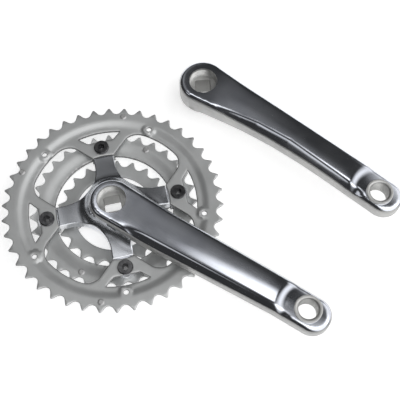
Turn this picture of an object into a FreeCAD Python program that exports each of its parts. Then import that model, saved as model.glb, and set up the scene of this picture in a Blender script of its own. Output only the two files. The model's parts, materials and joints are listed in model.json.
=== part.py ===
import FreeCAD, Part
import math
import os

import Sketcher
from FreeCAD import Placement, Rotation, Vector

# Bicycle crankset, 42-32-22 teeth, laid flat: the right crank with its three
# chainrings, and the loose left crank beside it.  Millimetres and degrees.
# Z is the spindle axis, pointing outboard.  X runs along the right crank arm.
# The origin is on the spindle axis, at the inboard face of the right hub.

SIZES = {
    # chain and teeth
    "chain_pitch": 12.7,
    "roller_seat_radius": 3.97,
    "seat_half_angle": 60.0,
    "tooth_tip_land": 1.0,
    "tooth_tip_rise": 1.55,
    "tooth_bevel_depth": 3.2,
    "tooth_bevel_drop": 0.55,
    "outer_teeth": 42,
    "middle_teeth": 32,
    "inner_teeth": 22,
    "outer_tooth_phase": 32.6,
    "middle_tooth_phase": 38.4,
    "inner_tooth_phase": 40.4,
    # ring plates
    "plate_thickness": 2.0,
    "ring_spacing": 7.85,
    "outer_tooth_level": 14.0,
    "rim_dish": 2.0,
    "ramp_width": 4.0,
    "ramp_lag": 0.8,
    "tab_reach": 7.5,
    "middle_bore_reach": 5.2,
    "middle_ramp_margin": 2.7,
    "inner_bore_reach": 0.3,
    "inner_tab_radius": 7.0,
    "window_half_width": 25.0,
    "window_inset": 19.0,
    "window_margin": 4.5,
    "window_corner_radius": 12.5,
    "cutout_inset": 19.2,
    "cutout_reach": 6.6,
    "cutout_outer_angle": 15.0,
    "cutout_inner_angle": 10.0,
    # chainring fixings
    "bolt_circle": 104.0,
    "inner_bolt_inset": 20.0,
    "first_bolt_angle": 45.0,
    "bolt_shank_radius": 3.95,
    "bolt_head_radius": 6.0,
    "bolt_head_height": 2.0,
    "bolt_head_chamfer": 0.6,
    "hex_across_flats": 5.0,
    "hex_depth": 4.0,
    "bolt_bore_radius": 1.7,
    "sleeve_radius": 5.0,
    "sleeve_flange_radius": 6.8,
    "sleeve_flange_height": 2.0,
    "sleeve_setback": 0.3,
    "fit_clearance": 0.1,
    "inner_bolt_head_radius": 6.3,
    "inner_bolt_head_height": 2.5,
    "inner_bolt_reach": 9.0,
    "drilling_allowance": 0.5,
    # chain guard holes and shift pins
    "guard_hole_radius": 1.95,
    "guard_pad_radius": 4.6,
    "guard_hole_inset": 13.3,
    "guard_first_angle": 312.6,
    "guard_hole_step": 74.0,
    "pin_radius": 1.6,
    "pin_head_radius": 2.6,
    "pin_head_height": 0.7,
    "pin_tail_height": 1.4,
    "outer_pin_inset": 6.5,
    "middle_pin_inset": 7.8,
    # spider
    "arm_half_width": 8.0,
    "tab_half_width": 7.3,
    "web_fillet": 27.0,
    "shoulder_clearance": 0.3,
    "spider_root_height": 18.0,
    "slope_top_offset": 3.0,
    "slope_top_rise": 2.2,
    "slope_foot_radius": 31.0,
    "slope_foot_rise": 0.6,
    "post_radius": 6.2,
    "lobe_clearance": 0.5,
    "lobe_wall": 1.5,
    # crank arms
    "crank_length": 170.0,
    "hub_height": 26.0,
    "hub_radius": 17.5,
    "right_lean": -0.8,
    "hub_chamfer": 2.5,
    "hub_back_taper": 3.5,
    "hub_back_height": 7.0,
    "end_radius": 13.3,
    "end_reach": 4.8,
    "end_rise": 15.0,
    "arm_thickness": 14.0,
    "beam_underside": 11.5,
    "beam_bevel": 3.0,
    "side_inset": 0.2,
    "arm_run_in": 7.5,
    "extractor_radius": 11.0,
    "extractor_depth": 9.0,
    "bore_lip": 1.5,
    "square_across_flats": 12.7,
    "square_taper_angle": 2.0,
    "pedal_thread_radius": 7.144,
    "pedal_face_radius": 10.2,
    "pedal_face_height": 0.6,
    # left crank
    "left_hub_x": 3.0,
    "left_hub_y": 128.1,
    "left_turn": -6.8,
    "left_hub_height": 30.0,
    "left_hub_radius": 19.6,
    "left_back_taper": 7.0,
    "left_back_height": 14.0,
    "left_waist": 5.0,
    "left_lean": 0.8,
}

doc = FreeCAD.newDocument("crankset")
sheet = doc.addObject("Spreadsheet::Sheet", "sizes")
for row, (alias, number) in enumerate(SIZES.items(), start=1):
    sheet.set(f"A{row}", alias)
    sheet.set(f"B{row}", str(number))
    sheet.setAlias(f"B{row}", alias)
doc.recompute()


class Size:
    """A value together with the sheet formula that gives it."""

    def __init__(self, value, formula=None):
        self.value = float(value)
        self.formula = formula or repr(float(value))

    def __add__(self, other):
        other = as_size(other)
        return Size(self.value + other.value, f"({self.formula} + {other.formula})")

    def __sub__(self, other):
        other = as_size(other)
        return Size(self.value - other.value, f"({self.formula} - {other.formula})")

    def __mul__(self, other):
        other = as_size(other)
        return Size(self.value * other.value, f"({self.formula} * {other.formula})")

    def __truediv__(self, other):
        other = as_size(other)
        return Size(self.value / other.value, f"({self.formula} / {other.formula})")

    def __neg__(self):
        return Size(0) - self


def as_size(number):
    """The number as a Size, if it isn't one already."""
    return number if isinstance(number, Size) else Size(number)


def cell(alias):
    """The Size held by one cell of the sheet."""
    return Size(sheet.get(alias), f"sizes.{alias}")


def sine(angle):
    """Sine of a Size in degrees, as a Size."""
    return Size(math.sin(math.radians(angle.value)), f"sin({angle.formula})")


def cosine(angle):
    """Cosine of a Size in degrees, as a Size."""
    return Size(math.cos(math.radians(angle.value)), f"cos({angle.formula})")


# ---------------------------------------------------------------- sketch tools

def new_body(label):
    """An empty body whose label is its node name."""
    body = doc.addObject("PartDesign::Body", label)
    body.Label = label
    return body


def new_sketch(body, name, plane="XY_Plane", height=0):
    """A sketch on one of the body's own origin planes, raised by a height."""
    sketch = body.newObject("Sketcher::SketchObject", f"{body.Name}_{name}")
    roles = {feature.Role: feature for feature in body.Origin.OriginFeatures}
    sketch.AttachmentSupport = [(roles[plane], "")]
    sketch.MapMode = "FlatFace"
    height = as_size(height)
    sketch.AttachmentOffset = Placement(Vector(0, 0, height.value), Rotation())
    if height.value:
        sketch.setExpression("AttachmentOffset.Base.z", height.formula)
    return sketch


def bind(sketch, constraint, size):
    """Adds a sized constraint and ties it to the sheet."""
    index = sketch.addConstraint(constraint)
    sketch.setExpression(f"Constraints[{index}]", size.formula)


def place_point(sketch, geometry, point, x, y):
    """Fixes one point of a sketch at sized coordinates."""
    for axis, size, line in (("DistanceX", x, -2), ("DistanceY", y, -1)):
        if abs(size.value) < 1e-9:
            sketch.addConstraint(Sketcher.Constraint("PointOnObject", geometry, point, line))
        else:
            bind(sketch, Sketcher.Constraint(axis, -1, 1, geometry, point, size.value), size)


def add_circle(sketch, radius, x=0, y=0):
    """A circle with its radius and centre tied to the sheet."""
    radius, x, y = as_size(radius), as_size(x), as_size(y)
    centre = Vector(x.value, y.value, 0)
    index = sketch.addGeometry(Part.Circle(centre, Vector(0, 0, 1), radius.value), False)
    place_point(sketch, index, 3, x, y)
    bind(sketch, Sketcher.Constraint("Radius", index, radius.value), radius)


def add_polygon(sketch, corners):
    """A closed run of straight lines through sized corners."""
    corners = [(as_size(x), as_size(y)) for x, y in corners]
    points = [Vector(x.value, y.value, 0) for x, y in corners]
    first = sketch.GeometryCount
    count = len(points)
    for i in range(count):
        sketch.addGeometry(Part.LineSegment(points[i], points[(i + 1) % count]), False)
    for i in range(count):
        following = first + (i + 1) % count
        sketch.addConstraint(Sketcher.Constraint("Coincident", first + i, 2, following, 1))
    for i, (x, y) in enumerate(corners):
        place_point(sketch, first + i, 1, x, y)


def add_curves(sketch, curves):
    """A closed run of lines and arcs, held where the sizes put them."""
    for curve in curves:
        index = sketch.addGeometry(curve, False)
        sketch.addConstraint(Sketcher.Constraint("Block", index))


def polar(radius, angle):
    """The point at a radius and an angle in degrees."""
    turn = math.radians(angle)
    return Vector(radius * math.cos(turn), radius * math.sin(turn), 0)


def line(start, end):
    """A straight edge."""
    return Part.LineSegment(start, end)


def arc(start, middle, end):
    """A round edge through three points."""
    return Part.Arc(start, middle, end)


def origin_feature(body, role):
    """One of the body's own origin planes or axes."""
    return next(feature for feature in body.Origin.OriginFeatures if feature.Role == role)


def pad(body, sketch, length):
    """Material added upward from a sketch."""
    feature = body.newObject("PartDesign::Pad", f"{sketch.Name}_pad")
    feature.Profile = sketch
    length = as_size(length)
    feature.Length = length.value
    feature.setExpression("Length", length.formula)
    body.Tip = feature
    return feature


def pocket(body, sketch, depth=None, upward=False):
    """A cut from a sketch: right through both ways, or to a depth."""
    feature = body.newObject("PartDesign::Pocket", f"{sketch.Name}_cut")
    feature.Profile = sketch
    if depth is None:
        feature.Type = "ThroughAll"
        feature.Midplane = True
    else:
        depth = as_size(depth)
        feature.Length = depth.value
        feature.setExpression("Length", depth.formula)
        feature.Reversed = upward
    body.Tip = feature
    return feature


def revolve(body, sketch, cut=False):
    """A full turn of a sketch about Z, added or cut away."""
    kind = "Groove" if cut else "Revolution"
    feature = body.newObject(f"PartDesign::{kind}", f"{sketch.Name}_turn")
    feature.Profile = sketch
    feature.ReferenceAxis = (origin_feature(body, "Z_Axis"), [""])
    feature.Angle = 360
    body.Tip = feature
    return feature


def repeat(body, feature, count, extent=360):
    """Copies a feature about Z; an open extent is shared between the copies."""
    pattern = body.newObject("PartDesign::PolarPattern", f"{feature.Name}_round")
    pattern.Originals = [feature]
    pattern.Axis = (origin_feature(body, "Z_Axis"), [""])
    count, extent = as_size(count), as_size(extent)
    pattern.Angle = extent.value
    pattern.setExpression("Angle", extent.formula)
    pattern.Occurrences = int(count.value)
    pattern.setExpression("Occurrences", count.formula)
    body.Tip = pattern
    return pattern


# -------------------------------------------------------- levels and radii

def pitch_radius(teeth):
    """Radius of the circle of chain roller centres."""
    return cell("chain_pitch") / (sine(Size(180) / teeth) * 2)


plate = cell("plate_thickness")
rim_dish = cell("rim_dish")
outer_rim_back = cell("outer_tooth_level") - plate / 2
outer_web_back = outer_rim_back - rim_dish
outer_web_front = outer_web_back + plate
middle_rim_back = outer_rim_back - cell("ring_spacing")
middle_web_back = middle_rim_back - rim_dish
middle_web_front = middle_web_back + plate
inner_back = middle_rim_back - cell("ring_spacing")
inner_front = inner_back + plate
tab_thickness = outer_web_back - middle_web_front
floor_level = inner_back - cell("inner_bolt_head_height")
bolt_radius = cell("bolt_circle") / 2
inner_bolt_radius = bolt_radius - cell("inner_bolt_inset")
outer_pitch = pitch_radius(cell("outer_teeth"))
middle_pitch = pitch_radius(cell("middle_teeth"))
tab_bore = bolt_radius - cell("tab_reach")
middle_bore = bolt_radius - cell("middle_bore_reach")
inner_bore = inner_bolt_radius - cell("inner_bore_reach")
window_outer = outer_pitch - cell("window_inset")
outer_pin_radius = outer_pitch - cell("outer_pin_inset")
middle_pin_radius = middle_pitch - cell("middle_pin_inset")
shoulder = tab_bore - cell("shoulder_clearance")
fit = cell("fit_clearance")
overrun = Size(1)
TOOTH_GAP_OVERRUN = 0.5
BOLT_COUNT = 4
BOLT_STEP = 360 / BOLT_COUNT
GUARD_HOLE_COUNT = 5
OUTER_PIN_ANGLES = [118.4, 191.2, 298.3, 371.2]
MIDDLE_PIN_ANGLES = [97.4, 279.1]


# -------------------------------------------------------------- chainrings

def tooth_gap(body, teeth, phase):
    """Cuts the gap round one chain roller and repeats it for every tooth."""
    centre = pitch_radius(teeth).value
    seat = cell("roller_seat_radius").value
    half_seat = cell("seat_half_angle").value
    tip = centre + cell("tooth_tip_rise").value
    half_pitch = 180 / teeth.value
    land_angle = math.degrees(cell("tooth_tip_land").value / 2 / tip)
    turn = phase.value + half_pitch
    middle = polar(centre, turn)
    low = middle + polar(seat, turn + 180 + half_seat)
    root = middle + polar(seat, turn + 180)
    high = middle + polar(seat, turn + 180 - half_seat)
    tip_low = polar(tip, turn - half_pitch + land_angle)
    tip_high = polar(tip, turn + half_pitch - land_angle)
    out_low = tip_low + (tip_low - low) * TOOTH_GAP_OVERRUN
    out_high = tip_high + (tip_high - high) * TOOTH_GAP_OVERRUN
    sketch = new_sketch(body, "tooth_gap")
    add_curves(sketch, [
        arc(low, root, high),
        line(high, out_high),
        line(out_high, out_low),
        line(out_low, low),
    ])
    cut = pocket(body, sketch)
    doc.recompute()
    return repeat(body, cut, teeth)


def ring_blank(body, teeth, bore, web_back, ramp_radius, dish):
    """Turned blank: flat web, ramp up to the rim, and a rim thinned for the teeth."""
    tip = pitch_radius(teeth) + cell("tooth_tip_rise")
    full = tip - cell("tooth_bevel_depth")
    drop = cell("tooth_bevel_drop")
    web_front = web_back + plate
    rim_back = web_back + dish
    rim_front = rim_back + plate
    sketch = new_sketch(body, "profile", "XZ_Plane")
    corners = [(bore, web_back)]
    if dish.value:
        ramp_end = ramp_radius + cell("ramp_width")
        lag = cell("ramp_lag")
        corners += [(ramp_radius + lag, web_back), (ramp_end + lag, rim_back)]
    corners += [(full, rim_back), (tip, rim_back + drop), (tip, rim_front - drop), (full, rim_front)]
    if dish.value:
        corners += [(ramp_end, rim_front), (ramp_radius, web_front)]
    corners += [(bore, web_front)]
    add_polygon(sketch, corners)
    return revolve(body, sketch)


def bolt_holes(body, radius, circle_radius, hole_radius):
    """A ring of four bolt holes."""
    angle = cell("first_bolt_angle")
    sketch = new_sketch(body, "bolt_hole")
    add_circle(sketch, hole_radius, circle_radius * cosine(angle), circle_radius * sine(angle))
    cut = pocket(body, sketch)
    doc.recompute()
    return repeat(body, cut, BOLT_COUNT)


def window_outline(centre_angle):
    """Window between two bolt tabs: straight sides, round corners, open to the bore."""
    half = cell("window_half_width").value
    outer = window_outer.value
    corner = cell("window_corner_radius").value
    inner = tab_bore.value / 2
    v = half - corner
    u = math.sqrt((outer - corner) ** 2 - v ** 2)
    spread = math.degrees(math.atan2(v, u))

    def local(a, b):
        turn = math.radians(centre_angle)
        return Vector(a * math.cos(turn) - b * math.sin(turn), a * math.sin(turn) + b * math.cos(turn), 0)

    touch_low, touch_high = polar(outer, centre_angle - spread), polar(outer, centre_angle + spread)
    slope = math.radians((90 + spread) / 2)
    bend_low = local(u + corner * math.cos(slope), -v - corner * math.sin(slope))
    bend_high = local(u + corner * math.cos(slope), v + corner * math.sin(slope))
    return [
        line(local(inner, -half), local(u, -half)),
        arc(local(u, -half), bend_low, touch_low),
        arc(touch_low, polar(outer, centre_angle), touch_high),
        arc(touch_high, bend_high, local(u, half)),
        line(local(u, half), local(inner, half)),
        line(local(inner, half), local(inner, -half)),
    ]


def cutout_outline(centre_angle):
    """Curved opening outboard of a bolt."""
    outer = (outer_pitch - cell("cutout_inset")).value
    inner = (bolt_radius + cell("cutout_reach")).value
    wide = cell("cutout_outer_angle").value
    narrow = cell("cutout_inner_angle").value
    corners = [polar(outer, centre_angle - wide), polar(outer, centre_angle + wide),
               polar(inner, centre_angle + narrow), polar(inner, centre_angle - narrow)]
    return [
        arc(corners[0], polar(outer, centre_angle), corners[1]),
        line(corners[1], corners[2]),
        line(corners[2], corners[3]),
        line(corners[3], corners[0]),
    ]


def make_outer_chainring():
    """Largest ring: raised rim, four bolt tabs, four windows and five guard holes."""
    teeth = cell("outer_teeth")
    body = new_body("outer_chainring")
    ramp_radius = window_outer + cell("window_margin")
    ring_blank(body, teeth, tab_bore, outer_web_back, ramp_radius, rim_dish)

    angle = cell("guard_first_angle")
    circle_radius = outer_pitch - cell("guard_hole_inset")
    guard_centre = (circle_radius * cosine(angle), circle_radius * sine(angle))
    pads = new_sketch(body, "guard_pad", height=outer_web_back)
    add_circle(pads, cell("guard_pad_radius"), *guard_centre)
    guard_pad = pad(body, pads, plate + rim_dish)
    doc.recompute()
    extent = cell("guard_hole_step") * (GUARD_HOLE_COUNT - 1)
    repeat(body, guard_pad, GUARD_HOLE_COUNT, extent)

    bolt_angle = cell("first_bolt_angle").value
    windows = new_sketch(body, "window")
    add_curves(windows, window_outline(bolt_angle - BOLT_STEP / 2))
    window = pocket(body, windows)
    doc.recompute()
    repeat(body, window, BOLT_COUNT)
    cutouts = new_sketch(body, "cutout")
    add_curves(cutouts, cutout_outline(bolt_angle))
    cutout = pocket(body, cutouts)
    doc.recompute()
    repeat(body, cutout, BOLT_COUNT)

    holes = new_sketch(body, "guard_hole")
    add_circle(holes, cell("guard_hole_radius"), *guard_centre)
    guard_hole = pocket(body, holes)
    doc.recompute()
    repeat(body, guard_hole, GUARD_HOLE_COUNT, extent)
    bolt_holes(body, bolt_radius, bolt_radius, cell("sleeve_radius") + fit)
    pin_holes(body, outer_pin_radius, OUTER_PIN_ANGLES)
    tooth_gap(body, teeth, cell("outer_tooth_phase"))
    return body


def pin_holes(body, circle_radius, angles):
    """Round holes that the shift pins fill."""
    sketch = new_sketch(body, "pin_hole")
    for angle in angles:
        turn = Size(angle)
        add_circle(sketch, cell("pin_radius") + fit, circle_radius * cosine(turn), circle_radius * sine(turn))
    return pocket(body, sketch)


def slot_outline(half, inner, outer_centre):
    """A strip along X from an inner radius, closed by a half circle round a centre."""
    start, end = Vector(inner, -half, 0), Vector(inner, half, 0)
    low, high = Vector(outer_centre, -half, 0), Vector(outer_centre, half, 0)
    round_end = arc(low, Vector(outer_centre + half, 0, 0), high)
    return [line(start, low), round_end, line(high, end), line(end, start)]


def turned(curves, angle):
    """The curves turned about Z."""
    for curve in curves:
        curve.rotate(Placement(Vector(), Rotation(Vector(0, 0, 1), angle)))
    return curves


def make_middle_chainring():
    """Middle ring: its web drops into a lobe at every bolt to seat on the spider tab."""
    teeth = cell("middle_teeth")
    bolt_angle = cell("first_bolt_angle").value
    body = new_body("middle_chainring")
    ramp_radius = middle_bore + cell("middle_ramp_margin")
    ring_blank(body, teeth, middle_bore, middle_web_back, ramp_radius, rim_dish)
    inside = cell("tab_half_width").value + cell("lobe_clearance").value
    outside = inside + cell("lobe_wall").value
    lobes = new_sketch(body, "lobe", height=middle_web_back)
    add_curves(lobes, turned(slot_outline(outside, tab_bore.value, bolt_radius.value), bolt_angle))
    lobe = pad(body, lobes, plate + rim_dish)
    doc.recompute()
    repeat(body, lobe, BOLT_COUNT)
    seats = new_sketch(body, "seat", height=middle_web_front)
    seat_start = (tab_bore - overrun).value
    add_curves(seats, turned(slot_outline(inside, seat_start, bolt_radius.value), bolt_angle))
    seat = pocket(body, seats, rim_dish + overrun, upward=True)
    doc.recompute()
    repeat(body, seat, BOLT_COUNT)

    bolt_holes(body, bolt_radius, bolt_radius, cell("sleeve_radius") + fit)
    pin_holes(body, middle_pin_radius, MIDDLE_PIN_ANGLES)
    tooth_gap(body, teeth, cell("middle_tooth_phase"))
    return body


def make_inner_chainring():
    """Smallest ring: flat, with four rounded bolt tabs on its bore."""
    teeth = cell("inner_teeth")
    bolt_angle = cell("first_bolt_angle").value
    body = new_body("inner_chainring")
    ring_blank(body, teeth, inner_bore, inner_back, Size(0), Size(0))
    tab_radius = cell("inner_tab_radius").value
    centre = inner_bolt_radius.value
    root = (inner_bore + plate).value
    low, high = Vector(centre, -tab_radius, 0), Vector(centre, tab_radius, 0)
    root_low, root_high = Vector(root, -tab_radius, 0), Vector(root, tab_radius, 0)
    half_disc = [
        arc(high, Vector(centre - tab_radius, 0, 0), low),
        line(low, root_low),
        line(root_low, root_high),
        line(root_high, high),
    ]
    tabs = new_sketch(body, "tab", height=inner_back)
    add_curves(tabs, turned(half_disc, bolt_angle))
    tab = pad(body, tabs, plate)
    doc.recompute()
    repeat(body, tab, BOLT_COUNT)
    bolt_holes(body, inner_bolt_radius, inner_bolt_radius, cell("bolt_shank_radius") + fit)
    tooth_gap(body, teeth, cell("inner_tooth_phase"))
    return body


# --------------------------------------------------------------- fasteners

def on_circle(body, radius, angle):
    """Stands a body upright on a circle about the spindle axis."""
    body.Placement = Placement(polar(radius.value, angle), Rotation(Vector(0, 0, 1), angle))
    turn = Size(angle)
    body.setExpression("Placement.Base.x", (radius * cosine(turn)).formula)
    body.setExpression("Placement.Base.y", (radius * sine(turn)).formula)


def hexagon(sketch, across_flats):
    """A hexagon centred on the origin."""
    corner = across_flats / 2 / cosine(Size(30))
    add_polygon(sketch, [(corner * cosine(Size(60 * i)), corner * sine(Size(60 * i))) for i in range(6)])


def make_outer_bolt(number):
    """Chainring bolt: low round head, through-bored hexagon socket, plain shank."""
    body = new_body(f"outer_bolt_{number}")
    head = cell("bolt_head_radius")
    top = outer_web_front + cell("bolt_head_height")
    bevel = cell("bolt_head_chamfer")
    bottom = middle_web_back - cell("sleeve_flange_height") / 2
    shank, bore = cell("bolt_shank_radius"), cell("bolt_bore_radius")
    profile = new_sketch(body, "profile", "XZ_Plane")
    add_polygon(profile, [
        (bore, bottom), (shank, bottom), (shank, outer_web_front), (head, outer_web_front),
        (head, top - bevel), (head - bevel, top), (bore, top),
    ])
    revolve(body, profile)
    socket = new_sketch(body, "socket", height=top)
    hexagon(socket, cell("hex_across_flats"))
    pocket(body, socket, cell("hex_depth"))
    on_circle(body, bolt_radius, cell("first_bolt_angle").value + BOLT_STEP * (number - 1))
    return body


def make_sleeve_nut(number):
    """Sleeve nut that the chainring bolt screws into, its flange inboard."""
    body = new_body(f"outer_sleeve_nut_{number}")
    sleeve = cell("sleeve_radius")
    bore = cell("bolt_shank_radius") + fit
    flange_back = middle_web_back - cell("sleeve_flange_height")
    front = outer_web_front - cell("sleeve_setback")
    profile = new_sketch(body, "profile", "XZ_Plane")
    add_polygon(profile, [
        (bore, flange_back), (cell("sleeve_flange_radius"), flange_back),
        (cell("sleeve_flange_radius"), middle_web_back), (sleeve, middle_web_back),
        (sleeve, front), (bore, front),
    ])
    revolve(body, profile)
    on_circle(body, bolt_radius, cell("first_bolt_angle").value + BOLT_STEP * (number - 1))
    return body


def make_inner_bolt(number):
    """Bolt that holds the smallest ring to a spider post, its head inboard."""
    body = new_body(f"inner_bolt_{number}")
    head, shank = cell("inner_bolt_head_radius"), cell("bolt_shank_radius")
    bevel = cell("bolt_head_chamfer")
    tip = inner_back + cell("inner_bolt_reach")
    profile = new_sketch(body, "profile", "XZ_Plane")
    add_polygon(profile, [
        (0, floor_level), (head - bevel, floor_level), (head, floor_level + bevel),
        (head, inner_back), (shank, inner_back), (shank, tip - bevel), (shank - bevel, tip), (0, tip),
    ])
    revolve(body, profile)
    socket = new_sketch(body, "socket", height=floor_level)
    hexagon(socket, cell("hex_across_flats"))
    pocket(body, socket, cell("hex_depth"), upward=True)
    on_circle(body, inner_bolt_radius, cell("first_bolt_angle").value + BOLT_STEP * (number - 1))
    return body


def make_shift_pin(label, circle_radius, angle, plate_back):
    """Riveted pin that lifts the chain: small head outboard, longer tail inboard."""
    body = new_body(label)
    head, pin = cell("pin_head_radius"), cell("pin_radius")
    front = plate_back + plate
    top = front + cell("pin_head_height")
    tail = plate_back - cell("pin_tail_height")
    profile = new_sketch(body, "profile", "XZ_Plane")
    add_polygon(profile, [
        (0, tail), (head, tail), (head, plate_back), (pin, plate_back),
        (pin, front), (head, front), (pin, top), (0, top),
    ])
    revolve(body, profile)
    on_circle(body, circle_radius, angle)
    return body


# -------------------------------------------------------------- crank arms

SLOPING_SPANS = 3


def beam_section(body, name, x, halves, back, front):
    """One cross-section of an arm: flat back, upright sides, bevelled front edges."""
    sketch = new_sketch(body, name, "YZ_Plane", x)
    bevel = cell("beam_bevel")
    low, high = halves
    add_polygon(sketch, [
        (-low, back), (high, back), (high, front - bevel), (high - bevel, front),
        (bevel - low, front), (-low, front - bevel),
    ])
    return sketch


def make_beam(label, height, hub, back, waist, lean):
    """Arm between the hub and the pedal end: level over the hub's bore, then rising, then level."""
    body = new_body(label)
    length, end = cell("crank_length"), cell("end_radius")
    top = height + cell("end_rise")
    end_back = top - cell("arm_thickness")
    level_start = length - end - cell("arm_run_in")
    underside = cell("beam_underside")
    sections = []
    slope_start = cell("extractor_radius") + cell("bore_lip")
    stations = [Size(0), slope_start]
    stations += [level_start * index / SLOPING_SPANS for index in range(1, SLOPING_SPANS + 1)]
    stations.append(length + cell("end_reach"))
    for index, x in enumerate(stations):
        share = x / level_start if x.value < level_start.value else Size(1)
        rising = x.value > slope_start.value
        climb = (x - slope_start) / (level_start - slope_start) if rising else Size(0)
        climb = climb if climb.value < 1 else Size(1)
        lean_share = share * SLOPING_SPANS
        shift = lean * lean_share if lean_share.value < 1 else lean
        half = hub + (end - hub) * share - cell("side_inset")
        narrowing = waist * math.sin(math.pi * share.value)
        halves = (half - narrowing - shift, half + shift)
        low = underside + (end_back - underside) * share
        front = height + cell("end_rise") * climb
        sections.append(beam_section(body, f"section_{index}", x, halves, low, front))
    loft = body.newObject("PartDesign::AdditiveLoft", f"{label}_loft")
    loft.Profile = sections[0]
    loft.Sections = sections[1:]
    loft.Ruled = True
    body.Tip = loft

    chamfer = cell("hub_chamfer")
    back_taper, back_height = back
    profile = new_sketch(body, "hub", "XZ_Plane")
    add_polygon(profile, [
        (0, 0), (hub - back_taper, 0), (hub, back_height),
        (hub, height - chamfer), (hub - chamfer, height), (0, height),
    ])
    revolve(body, profile)
    return body


def pedal_end(name, top, lean):
    """Round end of an arm with its bevelled rim, and the machined land round the pedal bore."""
    bevel, thickness = cell("beam_bevel"), cell("arm_thickness")
    end, land = cell("end_radius"), cell("pedal_face_radius")
    length = cell("crank_length")
    tip = length + cell("end_reach")
    solids = []
    for kind, label, x, y, base, height, radii in (
        ("Part::Cylinder", "end", tip, lean, top - thickness, thickness - bevel, {"Radius": end}),
        ("Part::Cone", "end_bevel", tip, lean, top - bevel, bevel, {"Radius1": end, "Radius2": end - bevel}),
        ("Part::Cylinder", "land", length, Size(0), top - bevel, bevel + cell("pedal_face_height"),
         {"Radius": land}),
    ):
        solid = doc.addObject(kind, f"{name}_{label}")
        for size_name, size in (*radii.items(), ("Height", height)):
            setattr(solid, size_name, size.value)
            solid.setExpression(size_name, size.formula)
        solid.Placement = Placement(Vector(x.value, y.value, base.value), Rotation())
        solid.setExpression("Placement.Base.x", x.formula)
        solid.setExpression("Placement.Base.y", y.formula)
        solid.setExpression("Placement.Base.z", base.formula)
        solids.append(solid)
    return solids


def make_spider():
    """Four arms, their ring tabs and the inner ring's posts, round a hub root."""
    body = new_body("spider")
    half = cell("arm_half_width").value
    reach = math.sqrt(shoulder.value ** 2 - half ** 2)
    fillet = min(cell("web_fillet").value, reach - half - overrun.value)
    angle = cell("first_bolt_angle").value
    corner = half + fillet
    bend = corner - fillet / math.sqrt(2)
    star = []
    for quarter in range(BOLT_COUNT):
        sector = [
            line(Vector(reach, half, 0), Vector(corner, half, 0)),
            arc(Vector(corner, half, 0), Vector(bend, bend, 0), Vector(half, corner, 0)),
            line(Vector(half, corner, 0), Vector(half, reach, 0)),
            line(Vector(half, reach, 0), Vector(-half, reach, 0)),
        ]
        star += turned(sector, BOLT_STEP * quarter + angle)
    arms = new_sketch(body, "star", height=middle_web_front)
    add_curves(arms, star)
    pad(body, arms, cell("spider_root_height") - middle_web_front)

    slope = new_sketch(body, "slope", "XZ_Plane")
    hub = cell("hub_radius")
    over = cell("spider_root_height") + overrun
    add_polygon(slope, [
        (hub, over),
        (hub + cell("slope_top_offset"), outer_web_front + cell("slope_top_rise")),
        (cell("slope_foot_radius"), outer_web_front + cell("slope_foot_rise")),
        (shoulder * 2, outer_web_front), (shoulder * 2, over),
    ])
    revolve(body, slope, cut=True)

    tabs = new_sketch(body, "tab", height=middle_web_front)
    tab_curves = slot_outline(cell("tab_half_width").value, shoulder.value / 2, bolt_radius.value)
    add_curves(tabs, turned(tab_curves, angle))
    tab = pad(body, tabs, tab_thickness)
    doc.recompute()
    repeat(body, tab, BOLT_COUNT)

    first = cell("first_bolt_angle")
    posts = new_sketch(body, "post", height=inner_front)
    add_circle(posts, cell("post_radius"), inner_bolt_radius * cosine(first), inner_bolt_radius * sine(first))
    post = pad(body, posts, outer_web_back - inner_front)
    doc.recompute()
    repeat(body, post, BOLT_COUNT)

    core = new_sketch(body, "core")
    add_circle(core, cell("hub_radius") - cell("hub_back_taper"))
    pad(body, core, cell("spider_root_height"))

    bolt_holes(body, bolt_radius, bolt_radius, cell("sleeve_radius") + fit)
    blind = new_sketch(body, "post_hole", height=inner_front)
    add_circle(blind, cell("bolt_shank_radius") + fit,
               inner_bolt_radius * cosine(first), inner_bolt_radius * sine(first))
    depth = cell("inner_bolt_reach") - plate + cell("drilling_allowance")
    drilled = pocket(body, blind, depth, upward=True)
    doc.recompute()
    repeat(body, drilled, BOLT_COUNT)
    return body


def hub_cuts(name, height):
    """The tapered square for the spindle, the extractor's bore and the pedal's bore."""
    tools = []
    depth = height - cell("extractor_depth")
    above = height + cell("end_rise") + overrun
    taper = new_body(f"{name}_square")
    plan = new_sketch(taper, "plan")
    taper_angle = cell("square_taper_angle")
    side = cell("square_across_flats") / 2 + depth * sine(taper_angle) / cosine(taper_angle)
    diagonal = side * math.sqrt(2)
    add_polygon(plan, [(diagonal, 0), (0, diagonal), (-diagonal, 0), (0, -diagonal)])
    square = pad(taper, plan, depth + overrun)
    square.TaperAngle = -taper_angle.value
    square.setExpression("TaperAngle", (-taper_angle).formula)
    tools.append(taper)
    for label, radius, x, low, high in (
        ("extractor", cell("extractor_radius"), Size(0), depth, above),
        ("pedal", cell("pedal_thread_radius"), cell("crank_length"), Size(0), above),
    ):
        drill = doc.addObject("Part::Cylinder", f"{name}_{label}")
        drill.Radius = radius.value
        drill.setExpression("Radius", radius.formula)
        drill.Height = (high - low).value
        drill.setExpression("Height", (high - low).formula)
        drill.Placement = Placement(Vector(x.value, 0, low.value), Rotation())
        drill.setExpression("Placement.Base.x", x.formula)
        drill.setExpression("Placement.Base.z", low.formula)
        tools.append(drill)
    return tools


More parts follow.
